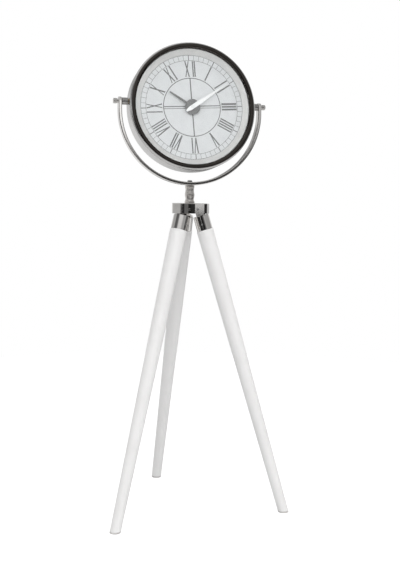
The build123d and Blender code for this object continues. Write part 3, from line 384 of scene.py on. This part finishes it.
# nickel of the stem, yoke, spacers and thumb screws
stemNickel = {
    "light": grey(0.65, 0.03), "dark": grey(0.55, 0.05), "drift": 8 * mm,
    "grain": 0.35 * mm, "stretch": (0.05, 0.05, 1), "rough": (0.34, 0.42), "relief": 0.003,
    "shader": polished,
}
yokeNickel = {
    "light": grey(0.66, 0.02), "dark": grey(0.60, 0.03), "drift": 18 * mm,
    "grain": 0.5 * mm, "stretch": (0.2, 1, 0.2), "rough": (0.06, 0.12), "relief": 0.015,
    "shader": polished,
}
# the spacers use the yoke's nickel painted much darker: painted shade of the gap between the yoke
# arm and the drum
spacerNickelPaintedShade = {
    "light": grey(0.38, 0.02), "dark": grey(0.30, 0.03), "drift": 4 * mm,
    "grain": 0.22 * mm, "stretch": (0.06, 0.06, 1), "rough": (0.30, 0.40), "relief": 0.06,
    "shader": polished,
}
knobNickel = {
    "light": grey(0.60, 0.02), "dark": grey(0.52, 0.03), "drift": 4 * mm,
    "grain": 0.22 * mm, "stretch": (0.06, 0.06, 1), "rough": (0.16, 0.27), "relief": 0.08,
    "shader": polished,
}
plainSteel = {
    "light": grey(0.42), "dark": grey(0.34), "drift": 3 * mm,
    "grain": 0.18 * mm, "rough": (0.28, 0.42), "relief": 0.12, "shader": polished,
}
pivotPoint = Vector(joints["head_tilt"]["pos_m"])
stem, yoke = nodes["stem"], nodes["yoke"]
dress(stem, finish("stemNickel", stemNickel, stem, tripodAxis))
dress(yoke, finish("yokeNickel", yokeNickel, yoke, pivotPoint, headRight))
for side in ("left", "right"):
    spacer, knob = nodes[f"pivot_spacer_{side}"], nodes[f"pivot_knob_{side}"]
    dress(spacer, finish(f"spacerNickel_{side}", spacerNickelPaintedShade, spacer, pivotPoint, headRight))
    dress(knob, finish(f"knobNickel_{side}", knobNickel, knob, pivotPoint, headRight))
for name in ("swivel_washer", "swivel_nut", "yoke_screw", "rear_cover_screws"):
    dress(nodes[name], finish(f"{name}_steel", plainSteel, nodes[name]))
print("yoke and pivots done")


# the drum's spun satin metal, brushed round its axis, and the dark polished rim
drumSatin = {
    "light": grey(0.62, 0.01), "dark": grey(0.56, 0.015), "drift": 30 * mm,
    "grain": 0.28 * mm, "stretch": (0.02, 0.02, 1), "rough": (0.26, 0.38), "relief": 0.10,
    "shader": polished,
}
rimDark = {
    "light": (0.062, 0.055, 0.050, 1), "dark": (0.046, 0.041, 0.037, 1), "drift": 25 * mm,
    "grain": 0.6 * mm, "stretch": (0.05, 0.05, 1), "rough": (0.20, 0.28), "relief": 0.03,
    "shader": polished,
}
ringSatin = {
    "light": grey(0.66, 0.012), "dark": grey(0.60, 0.015), "drift": 20 * mm,
    "grain": 0.3 * mm, "stretch": (0.03, 0.03, 1), "rough": (0.46, 0.58), "relief": 0.08,
    "shader": {"Metallic": 0.55},
}
blackRubber = {
    "light": grey(0.045), "dark": grey(0.035), "drift": 5 * mm,
    "grain": 0.3 * mm, "rough": (0.6, 0.75), "relief": 0.25,
}
headLooks = (("drum", drumSatin), ("reflector_ring", ringSatin), ("lens_gasket", blackRubber))
for name, look in headLooks:
    dress(nodes[name], finish(f"{name}_surface", look, nodes[name], dialMiddle, facing))


# the rim is dark on its front and paler on its side, and the two meet on its rounded edge
rimEdge = {"radius": 88.5 * mm, "soft": 0.6 * mm}
rimSide = {"light": grey(0.52, 0.012), "dark": grey(0.46, 0.015), "drift": 20 * mm}


def makeRim(dark, pale, edge, item):
    material = finish("rimDark", dark, item, dialMiddle, facing)
    tree = material.node_tree
    place = mapped(tree, item, dialMiddle, facing)
    flat = addNode(tree, "ShaderNodeVectorMath", {0: place, 1: (1, 1, 0)}, operation="MULTIPLY")
    radius = addNode(tree, "ShaderNodeVectorMath", {0: flat.outputs[0]}, operation="LENGTH")
    side = spread(tree, radius.outputs["Value"], 0, 1, edge["radius"] - edge["soft"],
                  edge["radius"] + edge["soft"])
    shader = next(node for node in tree.nodes if node.type == "BSDF_PRINCIPLED")
    drift = noise(tree, place, 1 / pale["drift"])
    tone = mixed(tree, spread(tree, drift, 0, 1), pale["light"], pale["dark"])
    front = shader.inputs["Base Color"].links[0].from_socket
    tree.links.new(mixed(tree, side, front, tone), shader.inputs["Base Color"])
    return material


dress(nodes["front_rim"], makeRim(rimDark, rimSide, rimEdge, nodes["front_rim"]))


# the glass lets light through to the dial and keeps its own reflection
glassLook = {
    "tint": (0.99, 0.995, 0.995, 1), "ior": 1.46,
    "smear": (0.0, 0.03), "smearFrom": (0.5, 0.8), "grain": 14 * mm,
}


def makeGlass(look, item):
    material = bpy.data.materials.new("clearGlass")
    tree = nodeTree(material)
    place = mapped(tree, item, dialMiddle, facing)
    marks = noise(tree, place, 1 / look["grain"])
    smear = spread(tree, marks, *look["smear"], *look["smearFrom"])
    glass = addNode(tree, "ShaderNodeBsdfGlass",
                    {"Color": look["tint"], "Roughness": smear, "IOR": look["ior"]})
    clear = addNode(tree, "ShaderNodeBsdfTransparent", {"Color": look["tint"]})
    path = addNode(tree, "ShaderNodeLightPath").outputs
    through = maths(tree, "MAXIMUM", path["Is Shadow Ray"], path["Is Diffuse Ray"])
    pane = addNode(tree, "ShaderNodeMixShader",
                   {0: through, 1: glass.outputs[0], 2: clear.outputs[0]})
    addNode(tree, "ShaderNodeOutputMaterial", {"Surface": pane.outputs[0]})
    return material


dress(nodes["lens"], makeGlass(glassLook, nodes["lens"]))

# the dial: matt off-white with a faint cloudy tone
dialPaint = {
    "light": (0.705, 0.712, 0.722, 1), "dark": (0.655, 0.662, 0.672, 1), "drift": 12 * mm,
    "grain": 0.4 * mm, "rough": (0.50, 0.62), "relief": 0.10,
}
dress(nodes["dial"], finish("dialPaint", dialPaint, nodes["dial"], dialMiddle, facing))
print("head done")


# the dial's print: minute track, inner circle, cross lines and Roman numerals, turned a little
printLook = {
    "turn": 3.5,
    "thickness": 0.05 * mm,
    "ink": {"light": grey(0.15), "dark": grey(0.11), "drift": 5 * mm,
            "grain": 0.25 * mm, "rough": (0.45, 0.6), "relief": 0.1},
    "track": (66.7 * mm, 74.0 * mm),
    "trackLine": 0.5 * mm,
    "tick": 0.45 * mm,
    "hourTick": 1.1 * mm,
    "innerCircle": (40.8 * mm, 41.9 * mm),
    "upright": 1.6 * mm,
    "level": (1.3 * mm, 0.8 * mm),
    "levelGap": 2.9 * mm,
    "crossFrom": 7 * mm,
    "numeral": (43.6 * mm, 65.4 * mm),
    "serif": 0.35 * mm,
    "serifReach": 0.55 * mm,
    "letterWidth": 6.6 * mm,
    "thinStroke": 1.3 * mm,
    "strokeLift": 0.1,
    "serifLift": 1.05,
    # each numeral's letters, stroke width, spaces between letters and shift, in millimetres
    "numerals": {
        1: ("I", 1.9, (), -0.2),
        2: ("II", 1.8, (5.6,), -1.7),
        3: ("III", 2.5, (1.4, 1.4), 0.2),
        4: ("IIII", 1.9, (1.6, 1.6, 1.6), -0.5),
        5: ("V", 1.9, (), -1.0),
        6: ("VI", 1.7, (1.3,), 0.0),
        7: ("VII", 1.9, (1.3, 1.2), -1.2),
        8: ("VIII", 1.7, (1.9, 1.7, 1.7), -0.7),
        9: ("IX", 1.6, (4.4,), -0.3),
        10: ("X", 2.0, (), -2.1),
        11: ("XI", 1.9, (2.6,), -0.8),
        12: ("XII", 1.7, (4.4, 0.9), 1.1),
    },
}
hourAngle, minuteAngle, minutesInHour = 30, 6, 60


def dialPoint(x, y, depth):
    turn = radians(printLook["turn"])
    across = x * cos(turn) - y * sin(turn)
    upward = x * sin(turn) + y * cos(turn)
    return dialMiddle + headRight * across + headUp * upward + facing * depth


def addFlat(shape, outline, thickness):
    front = [shape.verts.new(dialPoint(x, y, thickness)) for x, y in outline]
    back = [shape.verts.new(dialPoint(x, y, 0)) for x, y in outline]
    shape.faces.new(front)
    shape.faces.new(list(reversed(back)))
    for i in range(len(outline)):
        j = (i + 1) % len(outline)
        shape.faces.new((front[i], back[i], back[j], front[j]))


def addRing(shape, inner, outer, thickness, steps=180):
    rings = []
    for radius, depth in ((inner, 0), (inner, thickness), (outer, thickness), (outer, 0)):
        rings.append([shape.verts.new(dialPoint(radius * cos(2 * pi * i / steps),
                                                radius * sin(2 * pi * i / steps), depth))
                      for i in range(steps)])
    for ring, following in zip(rings, rings[1:] + rings[:1]):
        for i in range(steps):
            j = (i + 1) % steps
            shape.faces.new((ring[i], ring[j], following[j], following[i]))


def radial(clock, across, outward):
    angle = radians(clock)
    return (outward * sin(angle) + across * cos(angle), outward * cos(angle) - across * sin(angle))


def addStroke(shape, clock, low, high, width, thickness):
    (x0, y0), (x1, y1) = low, high
    half = width / 2
    outline = [(x0 - half, y0), (x0 + half, y0), (x1 + half, y1), (x1 - half, y1)]
    addFlat(shape, [radial(clock, x, y) for x, y in outline], thickness)


def letterStrokes(letter, start, stem, look):
    thin, width = look["thinStroke"], look["letterWidth"]
    left, right, centre = start + stem / 2, start + width - stem / 2, start + width / 2
    if letter == "I":
        return [(left, left, stem)], stem
    if letter == "V":
        return [(centre, left, stem), (centre, right, thin)], width
    return [(right, left, stem), (left, right, thin)], width


def addNumeral(shape, hour, letters, stem, gaps, shift, look):
    low, high = look["numeral"]
    strokes, start = [], 0
    for letter, gap in zip(letters, (0,) + gaps):
        start += gap * mm
        made, width = letterStrokes(letter, start, stem * mm, look)
        strokes += made
        start += width
    left = shift * mm - start / 2
    clock = hour * hourAngle
    thickness = look["thickness"]
    for step, (foot, head, width) in enumerate(strokes):
        lift = thickness * (1 + step * look["strokeLift"])
        foot, head = foot + left, head + left
        addStroke(shape, clock, (foot, low), (head, high), width, lift)
        wide = width + 2 * look["serifReach"]
        for x, y in ((foot, low), (head, high)):
            ends = (x, y - look["serif"] / 2), (x, y + look["serif"] / 2)
            addStroke(shape, clock, *ends, wide, lift * look["serifLift"])


def makePiece(name, shape, body):
    bmesh.ops.recalc_face_normals(shape, faces=shape.faces)
    mesh = bpy.data.meshes.new(name)
    shape.to_mesh(mesh)
    shape.free()
    piece = bpy.data.objects.new(name, mesh)
    bpy.context.scene.collection.objects.link(piece)
    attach(piece, body)
    return piece


def makeTrack(look):
    shape = bmesh.new()
    inner, outer = look["track"]
    half = look["trackLine"] / 2
    for radius in (inner, outer):
        addRing(shape, radius - half, radius + half, look["thickness"])
    addRing(shape, *look["innerCircle"], look["thickness"])
    for minute in range(minutesInHour):
        clock = minute * minuteAngle
        width = look["tick"] if clock % hourAngle else look["hourTick"]
        addStroke(shape, clock, (0, inner + half), (0, outer - half), width, look["thickness"])
    return makePiece("dialTrack", shape, "head")


def makeCross(look):
    shape = bmesh.new()
    first, last = look["crossFrom"], look["innerCircle"][0]
    for clock in (0, 180):
        addStroke(shape, clock, (0, first), (0, last), look["upright"], look["thickness"])
    gap = look["levelGap"]
    for clock, sign in ((90, 1), (270, -1)):
        for width, place in zip(look["level"], (-gap / 2, gap / 2)):
            addStroke(shape, clock, (place * sign, first), (place * sign, last), width,
                      look["thickness"])
    return makePiece("dialCross", shape, "head")


def makeNumerals(look):
    shape = bmesh.new()
    for hour, numeral in look["numerals"].items():
        addNumeral(shape, hour, *numeral, look)
    return makePiece("dialNumerals", shape, "head")


for piece in (makeTrack(printLook), makeCross(printLook), makeNumerals(printLook)):
    dress(piece, finish(f"{piece.name}_ink", printLook["ink"], piece, dialMiddle, facing))
print("dial printed")


# hands: a dark hour hand with its round boss, a bright ridged minute hand and its cap
hourLacquer = {
    "light": grey(0.16), "dark": grey(0.13), "drift": 6 * mm,
    "grain": 0.25 * mm, "rough": (0.36, 0.48), "relief": 0.08, "shader": {"Metallic": 0.3},
}
handSilver = {
    "light": grey(0.80), "dark": grey(0.75), "drift": 8 * mm,
    "grain": 0.2 * mm, "stretch": (1, 0.1, 1), "rough": (0.30, 0.40), "relief": 0.05,
    "shader": {"Metallic": 0.6},
}
capSilver = {
    "light": grey(0.76), "dark": grey(0.70), "drift": 2 * mm,
    "grain": 0.1 * mm, "stretch": (0.1, 0.1, 1), "rough": (0.30, 0.40), "relief": 0.04,
    "shader": {"Metallic": 0.6},
}
hourHand = nodes["hour_hand"]
dress(hourHand, finish("hourLacquer", hourLacquer, hourHand, dialMiddle, facing))
for name, look in (("minute_hand", handSilver), ("hand_cap", capSilver)):
    dress(nodes[name], finish(f"{name}_silver", look, nodes[name], dialMiddle, facing))
print("hands done")


# inside and behind: moulded plastic, brass, gears, coil, circuit board and battery
blackPlastic = {
    "light": grey(0.045), "dark": grey(0.035), "drift": 12 * mm,
    "grain": 0.25 * mm, "rough": (0.42, 0.58), "relief": 0.28,
}
greyPlastic = {
    "light": grey(0.16), "dark": grey(0.13), "drift": 10 * mm,
    "grain": 0.25 * mm, "rough": (0.42, 0.56), "relief": 0.22,
}
gearPlastic = {
    "light": grey(0.80, 0.05), "dark": grey(0.72, 0.07), "drift": 4 * mm,
    "grain": 0.15 * mm, "rough": (0.34, 0.46), "relief": 0.08,
    "shader": {"Subsurface Weight": 0.1, "Subsurface Scale": 0.5 * mm},
}
turnedBrass = {
    "light": (0.70, 0.50, 0.22, 1), "dark": (0.60, 0.41, 0.17, 1), "drift": 3 * mm,
    "grain": 0.12 * mm, "stretch": (0.1, 0.1, 1), "rough": (0.20, 0.32), "relief": 0.08,
    "shader": polished,
}
magnetGrey = {
    "light": grey(0.22), "dark": grey(0.17), "drift": 1.5 * mm,
    "grain": 0.1 * mm, "rough": (0.36, 0.5), "relief": 0.1, "shader": polished,
}
statorIron = {
    "light": grey(0.46, 0.02), "dark": grey(0.38, 0.03), "drift": 4 * mm,
    "grain": 0.15 * mm, "stretch": (1, 0.15, 1), "rough": (0.3, 0.44), "relief": 0.08,
    "shader": polished,
}
copperWire = {
    "light": (0.72, 0.30, 0.14, 1), "dark": (0.52, 0.18, 0.07, 1), "drift": 1.2 * mm,
    "grain": 0.1 * mm, "stretch": (0.05, 0.05, 1), "rough": (0.22, 0.36), "relief": 0.45,
    "shader": polished,
}
boardGreen = {
    "light": (0.03, 0.16, 0.07, 1), "dark": (0.02, 0.11, 0.05, 1), "drift": 1.2 * mm,
    "grain": 0.1 * mm, "rough": (0.22, 0.34), "relief": 0.08,
}
springNickel = {
    "light": grey(0.62, 0.02), "dark": grey(0.55, 0.03), "drift": 2 * mm,
    "grain": 0.12 * mm, "stretch": (1, 0.12, 1), "rough": (0.2, 0.32), "relief": 0.06,
    "shader": polished,
}
batteryWrap = {
    "light": grey(0.10), "dark": grey(0.08), "drift": 8 * mm,
    "grain": 0.2 * mm, "rough": (0.25, 0.34), "relief": 0.05,
}
insideLooks = (
    (blackPlastic, ("rear_cover", "movement_case", "setting_knob")),
    (greyPlastic, ("movement_cover", "coil_bobbin")),
    (gearPlastic, ("motion_wheel", "hour_wheel", "centre_wheel", "intermediate_wheel")),
    (turnedBrass, ("movement_washer", "movement_nut", "minute_arbor")),
    (magnetGrey, ("rotor",)),
    (statorIron, ("stator",)),
    (boardGreen, ("circuit_board",)),
    (springNickel, ("battery_plus_contact", "battery_minus_contact")),
)
for look, names in insideLooks:
    for name in names:
        dress(nodes[name], finish(f"{name}_surface", look, nodes[name], dialMiddle, facing))
acrossLooks = (
    (turnedBrass, ("pivot_boss_left", "pivot_boss_right")),
    (copperWire, ("coil_winding",)),
    (batteryWrap, ("battery",)),
)
for look, names in acrossLooks:
    for name in names:
        dress(nodes[name], finish(f"{name}_surface", look, nodes[name], middle(name), headRight))
print("movement done")
